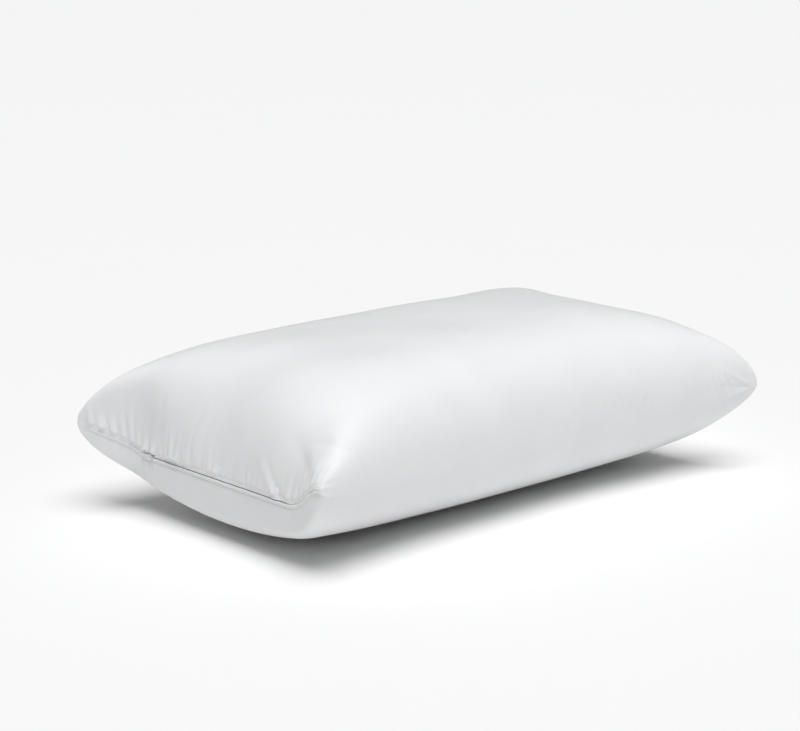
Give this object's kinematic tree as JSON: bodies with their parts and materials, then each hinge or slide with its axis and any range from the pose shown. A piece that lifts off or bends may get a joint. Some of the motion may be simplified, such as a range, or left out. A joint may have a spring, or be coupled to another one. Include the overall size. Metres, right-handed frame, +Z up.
{
  "type": "bed pillow",
  "caption": "Long rectangular bed pillow, plump and crowned, with a smooth white cover, pointed corners and a concealed zip along one short end.",
  "frame": {"origin": "on the resting surface, under the centre of the pillow", "axes": "+X along the length, away from the zipped end; +Y across the width; +Z up"},
  "size_m": [0.825, 0.46, 0.236],
  "materials": {
    "cover_cloth": "smooth fine weave with a slight satin sheen",
    "thread": "white sewing thread",
    "zip_tape": "woven polyester tape",
    "zip_coil": "white nylon",
    "zip_metal": "white enamel",
    "bag_cloth": "thin non-woven cloth",
    "fibre": "loose polyester fibre"
  },
  "bodies": {
    "pillow": {"cover": "cover_cloth", "zip_stitches_upper": "thread", "zip_stitches_lower": "thread", "zip_tape_upper": "zip_tape", "zip_tape_lower": "zip_tape", "zip_coil_upper": "zip_coil", "zip_coil_lower": "zip_coil", "zip_top_stops": "zip_metal", "zip_bottom_stop": "zip_metal", "inner_bag_top": "bag_cloth", "inner_bag_bottom": "bag_cloth", "fibre_fill": "fibre"},
    "slider": {"zip_slider": "zip_metal"},
    "tab": {"pull_tab": "zip_metal"}
  },
  "joints": [
    {"name": "zip_slide", "type": "slide", "parent": "pillow", "child": "slider", "axis": [0, -1, 0], "range_m": [0, 0.264]},
    {"name": "pull_tab_swing", "type": "hinge", "parent": "slider", "child": "tab", "pos_m": [-0.3654, 0.132, 0.082], "axis": [0, 0, 1], "range_deg": [0, 178]}
  ]
}
